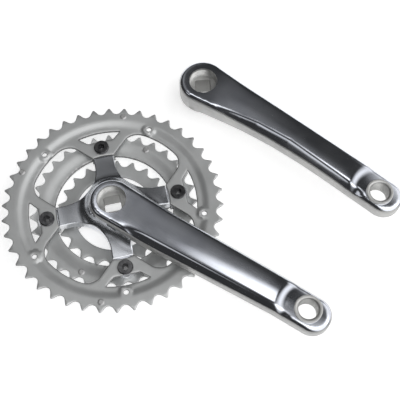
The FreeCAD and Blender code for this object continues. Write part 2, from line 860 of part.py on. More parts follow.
def make_crank(label, height, hub, back, waist, lean, extra):
    """A whole crank arm: beam, pedal land and any spider, less its bores."""
    beam = make_beam(f"{label}_beam", height, hub, back, waist, lean)
    whole = doc.addObject("Part::MultiFuse", f"{label}_solid")
    whole.Shapes = [beam] + pedal_end(label, height + cell("end_rise"), lean) + extra
    doc.recompute()
    bores = doc.addObject("Part::MultiFuse", f"{label}_bores")
    bores.Shapes = hub_cuts(label, height)
    crank = doc.addObject("Part::Cut", label)
    crank.Label = label
    crank.Base = whole
    crank.Tool = bores
    doc.recompute()
    return crank


def make_cranks():
    """Both cranks; the left one lies beside the rings, outboard face up."""
    right_back = (cell("hub_back_taper"), cell("hub_back_height"))
    right = make_crank("right_crank_arm", cell("hub_height"), cell("hub_radius"), right_back,
                       Size(0), cell("right_lean"), [make_spider()])
    left_back = (cell("left_back_taper"), cell("left_back_height"))
    left = make_crank("left_crank_arm", cell("left_hub_height"), cell("left_hub_radius"), left_back,
                      cell("left_waist"), cell("left_lean"), [])
    spot = Vector(cell("left_hub_x").value, cell("left_hub_y").value, floor_level.value)
    left.Placement = Placement(spot, Rotation(Vector(0, 0, 1), cell("left_turn").value))
    left.setExpression("Placement.Base.x", "sizes.left_hub_x")
    left.setExpression("Placement.Base.y", "sizes.left_hub_y")
    left.setExpression("Placement.Base.z", floor_level.formula)
    return [right, left]


# ------------------------------------------------------------------- build

nodes = make_cranks()
nodes += [make_outer_chainring(), make_middle_chainring(), make_inner_chainring()]
for number in range(1, BOLT_COUNT + 1):
    nodes += [make_outer_bolt(number), make_sleeve_nut(number), make_inner_bolt(number)]
for number, pin_angle in enumerate(OUTER_PIN_ANGLES, start=1):
    nodes.append(make_shift_pin(f"outer_shift_pin_{number}", outer_pin_radius,
                                pin_angle, outer_rim_back))
for number, pin_angle in enumerate(MIDDLE_PIN_ANGLES, start=1):
    nodes.append(make_shift_pin(f"middle_shift_pin_{number}", middle_pin_radius,
                                pin_angle, middle_rim_back))
doc.recompute()

for item in doc.Objects:
    if "Invalid" in item.State or "Error" in item.State:
        raise RuntimeError(f"{item.Name} failed: {item.State}")
os.makedirs("parts", exist_ok=True)
for node in nodes:
    if node.Shape.isNull() or not node.Shape.isValid():
        raise RuntimeError(f"{node.Label} has no valid shape")
    node.Shape.exportStep(f"parts/{node.Label}.step")
    print(node.Label, len(node.Shape.Solids), round(node.Shape.Volume, 1))
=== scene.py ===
import json
import math

import bpy
import numpy as np
from mathutils import Matrix, Vector
from mathutils.geometry import delaunay_2d_cdt


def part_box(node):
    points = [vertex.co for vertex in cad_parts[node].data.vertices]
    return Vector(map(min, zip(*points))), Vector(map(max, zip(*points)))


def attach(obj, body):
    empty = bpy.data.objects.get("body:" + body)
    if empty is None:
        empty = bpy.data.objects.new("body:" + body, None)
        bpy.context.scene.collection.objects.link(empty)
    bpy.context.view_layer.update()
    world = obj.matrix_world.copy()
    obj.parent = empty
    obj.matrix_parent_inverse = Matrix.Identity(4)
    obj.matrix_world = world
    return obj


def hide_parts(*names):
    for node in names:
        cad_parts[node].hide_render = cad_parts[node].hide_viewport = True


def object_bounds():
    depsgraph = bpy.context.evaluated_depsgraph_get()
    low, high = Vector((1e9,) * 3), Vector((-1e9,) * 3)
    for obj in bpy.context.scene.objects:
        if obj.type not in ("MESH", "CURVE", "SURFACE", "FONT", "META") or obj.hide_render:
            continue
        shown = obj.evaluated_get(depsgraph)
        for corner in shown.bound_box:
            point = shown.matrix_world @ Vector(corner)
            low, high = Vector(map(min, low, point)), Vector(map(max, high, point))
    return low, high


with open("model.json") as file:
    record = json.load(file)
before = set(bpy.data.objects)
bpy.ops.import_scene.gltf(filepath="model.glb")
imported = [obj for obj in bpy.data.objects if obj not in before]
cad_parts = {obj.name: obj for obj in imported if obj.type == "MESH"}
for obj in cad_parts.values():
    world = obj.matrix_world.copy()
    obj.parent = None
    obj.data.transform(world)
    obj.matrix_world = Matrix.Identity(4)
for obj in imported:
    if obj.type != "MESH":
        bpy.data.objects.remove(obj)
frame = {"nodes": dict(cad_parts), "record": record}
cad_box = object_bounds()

# Shapes are worked out in millimetres and made in metres.
MM = 0.001
RIGHT, LEFT = "right_crankset", "left_arm"

mounts = {m["name"]: m for m in frame["record"]["mounts"]}


def mount_mm(name):
    """A mount's place in millimetres."""
    return np.array(mounts[name]["pos_m"], float) / MM


def box_mm(node):
    """Lowest and highest corner of a CAD node in millimetres."""
    low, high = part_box(node)
    return np.array(low) / MM, np.array(high) / MM


# ------------------------------------------------------------- plane geometry

def polar(radius, degrees):
    """Points at a radius and angles in degrees."""
    turn = np.radians(np.asarray(degrees, float))
    return np.stack([radius * np.cos(turn), radius * np.sin(turn)], -1)


def circle(radius, centre=(0.0, 0.0), count=48, start=0.0):
    """A closed loop of points round a centre."""
    return polar(radius, start + np.arange(count) * 360.0 / count) + np.asarray(centre)[:2]


def arc(radius, start, end, step=0.8, centre=(0.0, 0.0)):
    """Points along a round edge, about a step apart."""
    count = max(2, int(math.ceil(abs(math.radians(end - start)) * radius / step)) + 1)
    return polar(radius, np.linspace(start, end, count)) + np.asarray(centre)[:2]


def join(*runs):
    """One closed loop from several runs, without repeated points."""
    points = np.concatenate([np.atleast_2d(r) for r in runs])
    gap = np.linalg.norm(points - np.roll(points, 1, 0), axis=1)
    return points[gap > 0.02]


def even(loop, step):
    """The closed loop with its long edges divided."""
    out = []
    for a, b in zip(loop, np.roll(loop, -1, 0)):
        count = max(1, int(round(np.linalg.norm(b - a) / step)))
        out.append(a + (b - a) * (np.arange(count) / count)[:, None])
    return np.concatenate(out)


def turn_points(points, degrees):
    """Points turned about the origin."""
    cosine, sine = math.cos(math.radians(degrees)), math.sin(math.radians(degrees))
    return points @ np.array([[cosine, sine], [-sine, cosine]])


def inside(points, loop):
    """Which points are within a closed loop."""
    out = np.zeros(len(points), bool)
    x0, y0 = loop[:, 0], loop[:, 1]
    x1, y1 = np.roll(x0, -1), np.roll(y0, -1)
    rise = np.where(np.abs(y1 - y0) < 1e-12, 1e-12, y1 - y0)
    for at in range(0, len(points), 1000):
        x, y = points[at:at + 1000, 0, None], points[at:at + 1000, 1, None]
        hit = ((y0 > y) != (y1 > y)) & (x < (x1 - x0) * (y - y0) / rise + x0)
        out[at:at + 1000] = hit.sum(1) % 2 == 1
    return out


def within(points, loops):
    """Which points are inside the first loop and outside the others."""
    keep = inside(points, loops[0])
    for hole in loops[1:]:
        keep &= ~inside(points, hole)
    return keep


def distance(points, loops):
    """How far each point is from the nearest of some closed loops."""
    a = np.concatenate(loops)
    b = np.concatenate([np.roll(loop, -1, 0) for loop in loops])
    along = b - a
    squared = np.maximum((along ** 2).sum(1), 1e-12)
    out = np.empty(len(points))
    for at in range(0, len(points), 500):
        p = points[at:at + 500, None, :]
        t = np.clip(((p - a) * along).sum(2) / squared, 0, 1)
        near = a + along * t[..., None]
        out[at:at + 500] = np.sqrt(((p - near) ** 2).sum(2).min(1))
    return out


def area(loop):
    """Signed area of a closed loop."""
    x, y = loop[:, 0], loop[:, 1]
    return 0.5 * np.sum(x * np.roll(y, -1) - np.roll(x, -1) * y)


def inward(loop):
    """Unit normals pointing left of a loop's direction."""
    ahead = np.roll(loop, -1, 0) - loop
    behind = loop - np.roll(loop, 1, 0)
    ahead /= np.maximum(np.linalg.norm(ahead, axis=1), 1e-9)[:, None]
    behind /= np.maximum(np.linalg.norm(behind, axis=1), 1e-9)[:, None]
    along = ahead + behind
    along /= np.maximum(np.linalg.norm(along, axis=1), 1e-9)[:, None]
    return np.stack([-along[:, 1], along[:, 0]], 1)


def smooth(low, high, value):
    """0 below low, 1 above high, smooth between."""
    t = np.clip((np.asarray(value, float) - low) / (high - low), 0, 1)
    return t * t * (3 - 2 * t)


def soft_plus(value, width):
    """max(value, 0) with a rounded corner."""
    return width * np.logaddexp(0, np.asarray(value, float) / width)


# Shares of a row's offset and of the grid's step that points keep from other edges, and millimetres.
ROW_CLEARANCE = 0.85
GRID_CLEARANCE = 0.45
MERGE_DISTANCE = 1e-5


def triangulate(outline, holes, step, offsets):
    """Points and triangles filling an outline with holes, with rows at some offsets from its edges."""
    loops = [outline if area(outline) > 0 else outline[::-1]]
    loops += [h if area(h) < 0 else h[::-1] for h in holes]
    extra = []
    for loop in loops:
        normal = inward(loop)
        for offset in offsets:
            row = loop + normal * offset
            extra.append(row[distance(row, loops) > offset * ROW_CLEARANCE])
    low, high = outline.min(0), outline.max(0)
    columns = np.arange(low[0], high[0], step)
    rows = np.arange(low[1], high[1], step * math.sqrt(3) / 2)
    grid = np.stack(np.meshgrid(columns, rows), -1)
    grid[1::2, :, 0] += step / 2
    grid = grid.reshape(-1, 2)
    grid = grid[distance(grid, loops) > max(offsets, default=0) + step * GRID_CLEARANCE]
    extra = np.concatenate(extra + [grid])
    extra = extra[within(extra, loops)]
    edges, start = [], 0
    for loop in loops:
        count = len(loop)
        edges += [(start + i, start + (i + 1) % count) for i in range(count)]
        start += count
    points = np.concatenate(loops + [extra])
    cells = [Vector(p) for p in points.tolist()]
    made = delaunay_2d_cdt(cells, edges, [], 0, MERGE_DISTANCE)
    points = np.array([tuple(v) for v in made[0]], float)
    faces = np.array([f for f in made[2] if len(f) == 3], int)
    faces = faces[within(points[faces].mean(1), loops)]
    a, b, c = points[faces[:, 0]], points[faces[:, 1]], points[faces[:, 2]]
    flip = ((b - a)[:, 0] * (c - a)[:, 1] - (b - a)[:, 1] * (c - a)[:, 0]) < 0
    faces[flip] = faces[flip][:, ::-1]
    return points, faces, loops


# ------------------------------------------------------------- mesh builders

def new_object(name, verts, faces, body, slot, looks, nodes=(), sharp=38.0, look_of=None):
    """A smooth-shaded piece, riding on a body, that may stand for CAD nodes."""
    mesh = bpy.data.meshes.new(name)
    mesh.from_pydata((np.asarray(verts, float) * MM).tolist(), [], faces)
    mesh.validate()
    mesh.update()
    for look in looks:
        mesh.materials.append(look)
    if look_of is not None:
        mesh.polygons.foreach_set("material_index", np.asarray(look_of, np.int32))
    mesh.polygons.foreach_set("use_smooth", np.ones(len(mesh.polygons), bool))
    mesh.set_sharp_from_angle(angle=math.radians(sharp))
    obj = bpy.data.objects.new(name, mesh)
    bpy.context.scene.collection.objects.link(obj)
    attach(obj, body)
    if nodes:
        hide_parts(*nodes)


def boundary_edges(faces):
    """Directed edges used by just one triangle."""
    pairs = np.concatenate([faces[:, [0, 1]], faces[:, [1, 2]], faces[:, [2, 0]]])
    used = dict.fromkeys(map(tuple, pairs.tolist()))
    return [(a, b) for a, b in used if (b, a) not in used]


# Width in millimetres of the thin dark line of painted shade drawn round a ring's windows and bore.
SHADE_LINE_WIDTH = 0.36


def plate(name, outline, holes, top, bottom, step, offsets, shade_lined=(), **where):
    """A sheet part: one plan filled twice, at a top and a bottom height, and walled.

    With two looks, its walls and a thin line round the shade_lined loops get the second, a dark edge colour
    that is partly painted shade.
    """
    points, faces, _ = triangulate(outline, holes, step, offsets)
    high, low = top(points), bottom(points)
    count = len(points)
    verts = np.concatenate([np.column_stack([points, high]), np.column_stack([points, low])])
    all_faces = faces.tolist() + (faces[:, ::-1] + count).tolist()
    filled = len(all_faces)
    for a, b in boundary_edges(faces):
        all_faces.append([a, a + count, b + count, b])
    if len(where["looks"]) > 1:
        front = [0] * len(faces)
        if shade_lined:
            # Top faces near the shade_lined loops get the dark edge look: a thin line of painted shade.
            front = (distance(points[faces].mean(1), shade_lined) < SHADE_LINE_WIDTH).astype(int).tolist()
        where["look_of"] = front + [0] * len(faces) + [1] * (len(all_faces) - filled)
    new_object(name, verts, all_faces, **where)


def loft(loops):
    """Vertices and faces joining loops of equal count in turn, and the last to the first."""
    count = len(loops[0])
    faces = []
    for a in range(len(loops)):
        b = (a + 1) % len(loops)
        for i in range(count):
            j = (i + 1) % count
            faces.append([a * count + i, a * count + j, b * count + j, b * count + i])
    return np.concatenate(loops), faces


def lift(loop, height):
    """A plane loop at a height."""
    return np.column_stack([loop, np.full(len(loop), float(height))])


# ------------------------------------------------------------- materials

class Graph:
    """Short ways to add and join shader nodes, in a material or world emptied first."""

    def __init__(self, owner):
        owner.use_nodes = True
        self.tree = owner.node_tree
        self.tree.nodes.clear()

    def add(self, kind, inputs=None, **settings):
        """A node with its settings, each input joined to a socket or set to a value."""
        node = self.tree.nodes.new(kind)
        for key, value in settings.items():
            setattr(node, key, value)
        for key, value in (inputs or {}).items():
            if isinstance(value, bpy.types.NodeSocket):
                self.tree.links.new(value, node.inputs[key])
            else:
                node.inputs[key].default_value = value
        return node

    def noise(self, place, scale, detail=2.0, rough=0.5):
        return self.add("ShaderNodeTexNoise", {"Vector": place, "Scale": scale, "Detail": detail,
                                               "Roughness": rough}).outputs["Fac"]

    def spread(self, value, low, high, to_low, to_high):
        """A value taken smoothly from one range to another."""
        return self.add("ShaderNodeMapRange", {0: value, 1: low, 2: high, 3: to_low, 4: to_high},
                        interpolation_type="SMOOTHSTEP").outputs[0]

    def maths(self, operation, a, b=0.0):
        return self.add("ShaderNodeMath", {0: a, 1: b}, operation=operation).outputs[0]

    def mix(self, share, a, b):
        """Two colours mixed; the numbers are the node's colour sockets."""
        return self.add("ShaderNodeMix", {0: share, 6: a, 7: b}, data_type="RGBA").outputs[2]

    def stretch(self, place, scale, turn=0.0):
        return self.add("ShaderNodeMapping", {"Vector": place, "Scale": scale,
                                              "Rotation": (0, 0, math.radians(turn))}).outputs[0]


MOTTLE_SCALE = 38.0
WEAR_SCALE = 420.0
LATHE_PITCH = 0.45


def metal(name, light, dark, rough, rough_spread, grain, grain_height, worn, worn_share=0.6,
          turn=0.0, stretch=(1, 1, 1), lathe=None, lathe_height=0.0, metallic=1.0):
    """A metal finish: mottled colour and gloss, fine grain, worn edges and turned lines.

    Heights are in metres, and lathe is a centre in millimetres.
    """
    look = bpy.data.materials.new(name)
    g = Graph(look)
    place = g.add("ShaderNodeTexCoord").outputs["Object"]
    cloud = g.noise(place, MOTTLE_SCALE, 3.0, 0.55)
    fine = g.noise(g.stretch(place, stretch, turn), grain, 3.0, 0.6)
    colour = g.mix(g.spread(cloud, 0.3, 0.7, 0.0, 1.0), (*dark, 1), (*light, 1))
    edge = g.add("ShaderNodeNewGeometry").outputs["Pointiness"]
    mask = g.maths("MULTIPLY", g.spread(edge, 0.51, 0.56, 0.0, worn_share),
                   g.spread(g.noise(place, WEAR_SCALE), 0.35, 0.6, 0.3, 1.0))
    colour = g.mix(mask, colour, (*worn, 1))
    gloss = g.maths("ADD", g.spread(cloud, 0.3, 0.7, rough - rough_spread, rough + rough_spread),
                    g.spread(fine, 0.2, 0.8, -rough_spread, rough_spread))
    bump = g.add("ShaderNodeBump", {"Height": fine, "Strength": 0.55,
                                    "Distance": grain_height}).outputs[0]
    if lathe is not None:
        offset = g.add("ShaderNodeVectorMath", {0: place, 1: tuple(-c * MM for c in lathe)},
                       operation="ADD")
        flat = g.add("ShaderNodeVectorMath", {0: offset.outputs[0], 1: (1, 1, 0)}, operation="MULTIPLY")
        radius = g.add("ShaderNodeVectorMath", {0: flat.outputs[0]}, operation="LENGTH").outputs["Value"]
        wave = g.maths("SINE", g.maths("MULTIPLY", radius, 2 * math.pi / (LATHE_PITCH * MM)))
        bump = g.add("ShaderNodeBump", {"Height": wave, "Strength": 0.6, "Distance": lathe_height,
                                        "Normal": bump}).outputs[0]
    surface = g.add("ShaderNodeBsdfPrincipled", {"Base Color": colour, "Metallic": metallic,
                                                 "Roughness": gloss, "Normal": bump})
    g.add("ShaderNodeOutputMaterial", {"Surface": surface.outputs[0]})
    return look


def grey(value):
    """A neutral colour."""
    return (value, value, value)


POLISH = dict(light=(0.82, 0.85, 0.92), dark=(0.72, 0.75, 0.83), rough=0.115, rough_spread=0.02,
              grain=900.0, grain_height=0.000004, worn=grey(0.95), stretch=(0.06, 1, 1))
LEFT_GRAIN_TURN = 6.8
polish_right = metal("polish_right", **POLISH)
polish_left = metal("polish_left", turn=LEFT_GRAIN_TURN, **POLISH)
forged = metal("forged_side", (0.50, 0.50, 0.49), grey(0.36), rough=0.42, rough_spread=0.05,
               grain=700.0, grain_height=0.00006, worn=grey(0.75), metallic=0.75)
spider_look = metal("spider_satin", (0.66, 0.68, 0.72), (0.56, 0.58, 0.62), rough=0.24, rough_spread=0.02,
                    grain=800.0, grain_height=0.000003, worn=grey(0.85))
ring_look = metal("ring_satin", (0.61, 0.62, 0.62), (0.53, 0.54, 0.54), rough=0.42, rough_spread=0.04,
                  grain=1100.0, grain_height=0.00002, worn=grey(0.75), metallic=0.65)
inner_look = metal("inner_ring_matte", (0.56, 0.57, 0.57), (0.48, 0.49, 0.49), rough=0.5, rough_spread=0.04,
                   grain=1300.0, grain_height=0.00003, worn=grey(0.65), metallic=0.5)
black_look = metal("black_oxide", (0.055, 0.055, 0.06), (0.035, 0.035, 0.04), rough=0.22, rough_spread=0.04,
                   grain=900.0, grain_height=0.00001, worn=grey(0.30), worn_share=0.3, metallic=0.9)
pin_look = metal("pin_steel", grey(0.50), grey(0.40), rough=0.36, rough_spread=0.05,
                 grain=900.0, grain_height=0.00002, worn=grey(0.7), metallic=0.6)
# The rings' sheared edges: partly the rough steel's own darker tone, partly painted shade that darkens the
# walls and the thin lines round the windows and bore.
ring_edge_and_shade = metal("ring_sheared_edge_and_painted_shade", grey(0.20), grey(0.13), rough=0.42, rough_spread=0.05,
                  grain=600.0, grain_height=0.00004, worn=grey(0.45), metallic=0.7)
socket_look = metal("broached_square", (0.40, 0.40, 0.39), (0.28, 0.28, 0.27), rough=0.42, rough_spread=0.05,
                    grain=700.0, grain_height=0.00003, worn=grey(0.6), metallic=0.9)


def machined(name, centre):
    """Bright lathe-turned metal round a centre."""
    return metal(name, (0.66, 0.66, 0.65), (0.54, 0.54, 0.53), rough=0.34, rough_spread=0.04,
                 grain=900.0, grain_height=0.00002, worn=grey(0.85), lathe=(centre[0], centre[1], 0.0),
                 lathe_height=0.00002, metallic=0.85)


# ------------------------------------------------------------- chainrings

CHAIN_PITCH = 12.7
SEAT_RADIUS = 3.97
SEAT_HALF_ANGLE = 60.0
SEAT_POINTS = 11
TIP_LAND = 1.0
TIP_RISE = 1.55
TIP_ROUND = 0.25
TIP_ROUND_SPREAD = 1.6
TOOTH_BEVEL_DEPTH = 3.2
TOOTH_BEVEL_DROP = 0.55
PLATE = 2.0
EDGE_STEP = 0.8
SLEEVE_HOLE = 5.1
INNER_BOLT_HOLE = 4.05
TAB_BORE_DEPTH = 7.5
PIN_HOLE = 1.7
GUARD_HOLE = 1.95
OUTER_TEETH, MIDDLE_TEETH, INNER_TEETH = 42, 32, 22
BOLT_ANGLES = [45.0 + 90 * i for i in range(4)]
GUARD = [mount_mm(f"guard_hole_{i + 1}")[:2] for i in range(5)]


def bolt_radius(node):
    """How far a bolt stands from the spindle's axis."""
    low, high = box_mm(node)
    return float(np.linalg.norm((low + high)[:2] / 2))


BOLT_RADIUS = bolt_radius("outer_bolt_1")
INNER_BOLT_RADIUS = bolt_radius("inner_bolt_1")
outer_box = box_mm("outer_chainring")
middle_box = box_mm("middle_chainring")
inner_box = box_mm("inner_chainring")


def pitch_radius(teeth):
    """Radius of the circle of chain roller centres."""
    return CHAIN_PITCH / (2 * math.sin(math.pi / teeth))


def tooth_outline(teeth, phase):
    """The toothed edge: round roller seats, straight flanks, short round tips."""
    centre = pitch_radius(teeth)
    tip = centre + TIP_RISE
    half_pitch = 180 / teeth
    land = math.degrees(TIP_LAND / 2 / tip)
    angles = np.linspace(180 - SEAT_HALF_ANGLE, 180 + SEAT_HALF_ANGLE, SEAT_POINTS)
    seat = (polar(centre, 0) + polar(SEAT_RADIUS, angles))[::-1]
    low_tip = polar(tip, -half_pitch + land)
    high_tip = polar(tip, half_pitch - land)
    low_round = polar(tip - TIP_ROUND, -half_pitch + land * TIP_ROUND_SPREAD)
    high_round = polar(tip - TIP_ROUND, half_pitch - land * TIP_ROUND_SPREAD)
    one = np.concatenate([[low_tip], [low_round], seat, [high_round], [high_tip]])
    turns = [phase + half_pitch + 2 * half_pitch * k for k in range(teeth)]
    return np.concatenate([turn_points(one, turn) for turn in turns])


def tooth_drop(radius, teeth):
    """How far a ring's face falls away towards its tooth tips."""
    tip = pitch_radius(teeth) + TIP_RISE
    return TOOTH_BEVEL_DROP * np.clip((radius - tip + TOOTH_BEVEL_DEPTH) / TOOTH_BEVEL_DEPTH, 0, 1)


def window_loop(centre_angle, bore):
    """One side of an outer ring's tab and the window beyond it, from tab to tab."""
    half, corner = 25.0, 12.5
    outer = pitch_radius(OUTER_TEETH) - 19.0
    across = half - corner
    along = math.sqrt((outer - corner) ** 2 - across ** 2)
    spread = math.degrees(math.atan2(across, along))
    start = math.sqrt(bore ** 2 - half ** 2)
    low_arc = arc(corner, -90, -spread, centre=(along, -across))
    high_arc = arc(corner, spread, 90, centre=(along, across))
    run = np.concatenate([[(start, -half)], low_arc, arc(outer, -spread, spread), high_arc, [(start, half)]])
    return turn_points(run, centre_angle)


def outer_ring():
    """Largest ring: satin web, raised rim, pads round its five guard holes."""
    teeth = OUTER_TEETH
    pitch = pitch_radius(teeth)
    bore = BOLT_RADIUS - TAB_BORE_DEPTH
    low, high = outer_box[0][2], outer_box[1][2]
    bore_runs = []
    for i, angle in enumerate(BOLT_ANGLES):
        window = window_loop(angle - 45, bore)
        end = math.degrees(math.atan2(*window[-1][::-1]))
        following = window_loop(angle + 45, bore)
        start = math.degrees(math.atan2(*following[0][::-1]))
        if start < end:
            start += 360
        bore_runs += [window, arc(bore, end, start)]
    bore_loop = even(join(*bore_runs), EDGE_STEP)
    cutouts = []
    for angle in BOLT_ANGLES:
        far_edge = arc(pitch - 19.2, angle - 15, angle + 15)
        near_edge = polar(BOLT_RADIUS + 6.6, [angle + 10, angle - 10])
        cutouts.append(even(join(far_edge, near_edge), EDGE_STEP))
    bolt_holes = [circle(SLEEVE_HOLE, polar(BOLT_RADIUS, a)) for a in BOLT_ANGLES]
    guard_holes = [circle(GUARD_HOLE, g, 28) for g in GUARD]
    pins = [circle(PIN_HOLE, polar(pitch - 6.5, a), 20) for a in (118.4, 191.2, 298.3, 371.2)]
    outline = tooth_outline(teeth, phase=32.6)
    windows = [bore_loop] + cutouts
    holes = windows + bolt_holes + guard_holes + pins
    ramp = pitch - 14.5

    def level(points):
        radius = np.linalg.norm(points, axis=1)
        raised = smooth(ramp - 1.5, ramp + 5.5, radius)
        pad = np.min([np.linalg.norm(points - g, axis=1) for g in GUARD], axis=0)
        return np.maximum(raised, 1 - smooth(4.2, 6.2, pad))

    def top(points):
        radius = np.linalg.norm(points, axis=1)
        height = low + PLATE + (high - low - PLATE) * level(points) - tooth_drop(radius, teeth)
        near_window = distance(points, windows)
        coin = 0.3 * (1 - smooth(0.0, 0.8, near_window))
        edge = 0.25 * (1 - smooth(0.0, 0.35, distance(points, [outline])))
        near_hole = distance(points, guard_holes + bolt_holes)
        sink = 0.35 * (1 - smooth(0.0, 0.5, near_hole))
        return height - coin - edge - sink

    def bottom(points):
        radius = np.linalg.norm(points, axis=1)
        height = low + (high - low - PLATE) * level(points) + tooth_drop(radius, teeth)
        edge = 0.2 * (1 - smooth(0.0, 0.35, distance(points, [outline] + windows)))
        return height + edge

    # The windows get a thin line of painted shade round them, and the walls the dark edge look.
    plate("outer_chainring_shape", outline, holes, top, bottom, 1.5, (0.15, 0.4, 0.8), windows,
          body=RIGHT, nodes=("outer_chainring",), slot="ring_steel", looks=(ring_look, ring_edge_and_shade))


def slot_distance(points, angle, half, start, end):
    """Distance outside a round-ended strip that runs outward at an angle."""
    local = turn_points(points, -angle)
    along = np.clip(local[:, 0], start, end)
    return np.maximum(np.hypot(local[:, 0] - along, local[:, 1]) - half, 0)


def middle_ring():
    """Middle ring: teeth on a raised rim that sweeps down to four bolt seats."""
    teeth = MIDDLE_TEETH
    pitch = pitch_radius(teeth)
    bore = BOLT_RADIUS - 5.2
    tab_bore = BOLT_RADIUS - TAB_BORE_DEPTH
    low, high = middle_box[0][2], middle_box[1][2]
    tab_half = 9.3
    tab_edge = math.degrees(math.asin(tab_half / tab_bore))
    bore_edge = math.degrees(math.asin(tab_half / bore))
    runs = []
    for angle in BOLT_ANGLES:
        flat = polar(tab_bore, [angle - tab_edge, angle + tab_edge])
        runs += [arc(bore, angle - 90 + bore_edge, angle - bore_edge), flat]
    bore_loop = even(join(*runs), EDGE_STEP)
    bolt_holes = [circle(SLEEVE_HOLE, polar(BOLT_RADIUS, a)) for a in BOLT_ANGLES]
    pins = [circle(PIN_HOLE, polar(pitch - 7.8, a), 20) for a in (97.4, 279.1)]
    outline = tooth_outline(teeth, phase=38.4)

    def level(points):
        radius = np.linalg.norm(points, axis=1)
        web = np.maximum(radius - bore - 1.2, 0)
        for angle in BOLT_ANGLES:
            web = np.minimum(web, slot_distance(points, angle, 7.8, 0, BOLT_RADIUS))
        return smooth(0.0, 10.5, web)

    def top(points):
        radius = np.linalg.norm(points, axis=1)
        height = low + PLATE + (high - low - PLATE) * level(points) - tooth_drop(radius, teeth)
        edge = 0.3 * (1 - smooth(0.0, 0.4, distance(points, [outline, bore_loop])))
        return height - edge

    def bottom(points):
        radius = np.linalg.norm(points, axis=1)
        height = low + (high - low - PLATE) * level(points) + tooth_drop(radius, teeth)
        return height + 0.2 * (1 - smooth(0.0, 0.4, distance(points, [outline, bore_loop])))

    # The bore gets a thin line of painted shade round it, and the walls the dark edge look.
    plate("middle_chainring_shape", outline, [bore_loop] + bolt_holes + pins, top, bottom, 1.5,
          (0.15, 0.4), [bore_loop], body=RIGHT, nodes=("middle_chainring",), slot="ring_steel",
          looks=(ring_look, ring_edge_and_shade))


def inner_ring():
    """Smallest ring: flat, with four rounded bolt tabs on its bore."""
    teeth = INNER_TEETH
    bore = INNER_BOLT_RADIUS - 0.3
    low, high = inner_box[0][2], inner_box[1][2]
    tab = 7.0
    edge = math.degrees(math.asin(tab / bore))
    runs = []
    for angle in BOLT_ANGLES:
        round_end = turn_points(arc(tab, 270, 90, centre=(INNER_BOLT_RADIUS, 0)), angle)
        runs += [arc(bore, angle - 90 + edge, angle - edge), round_end]
    bore_loop = even(join(*runs), EDGE_STEP)
    bolt_holes = [circle(INNER_BOLT_HOLE, polar(INNER_BOLT_RADIUS, a)) for a in BOLT_ANGLES]
    outline = tooth_outline(teeth, phase=40.4)

    def top(points):
        radius = np.linalg.norm(points, axis=1)
        edge = 0.25 * (1 - smooth(0.0, 0.4, distance(points, [outline, bore_loop])))
        return high - tooth_drop(radius, teeth) - edge

    def bottom(points):
        radius = np.linalg.norm(points, axis=1)
        return low + tooth_drop(radius, teeth)

    plate("inner_chainring_shape", outline, [bore_loop] + bolt_holes, top, bottom, 1.8, (0.15, 0.4),
          body=RIGHT, nodes=("inner_chainring",), slot="ring_steel", looks=(inner_look, ring_edge_and_shade))


# ------------------------------------------------------------- crank arms

PEDAL_END_RADIUS = 13.3
PEDAL_END_REACH = 4.8
PEDAL_END_RISE = 15.0
PEDAL_THICKNESS = 14.0
BACK_AT_HUB = 11.5
BACK_BEHIND_HUB = 11.0
CROWN_RADIUS = 95.0
BEVEL_SLOPE = 0.62
FAR_BEVEL_SLOPE = 0.7
FAR_BEVEL_WIDTH = 2.2
LIP_SLOPE = 0.85
LIP_WIDTH = 2.4
SCALLOP_DEPTH = 0.9


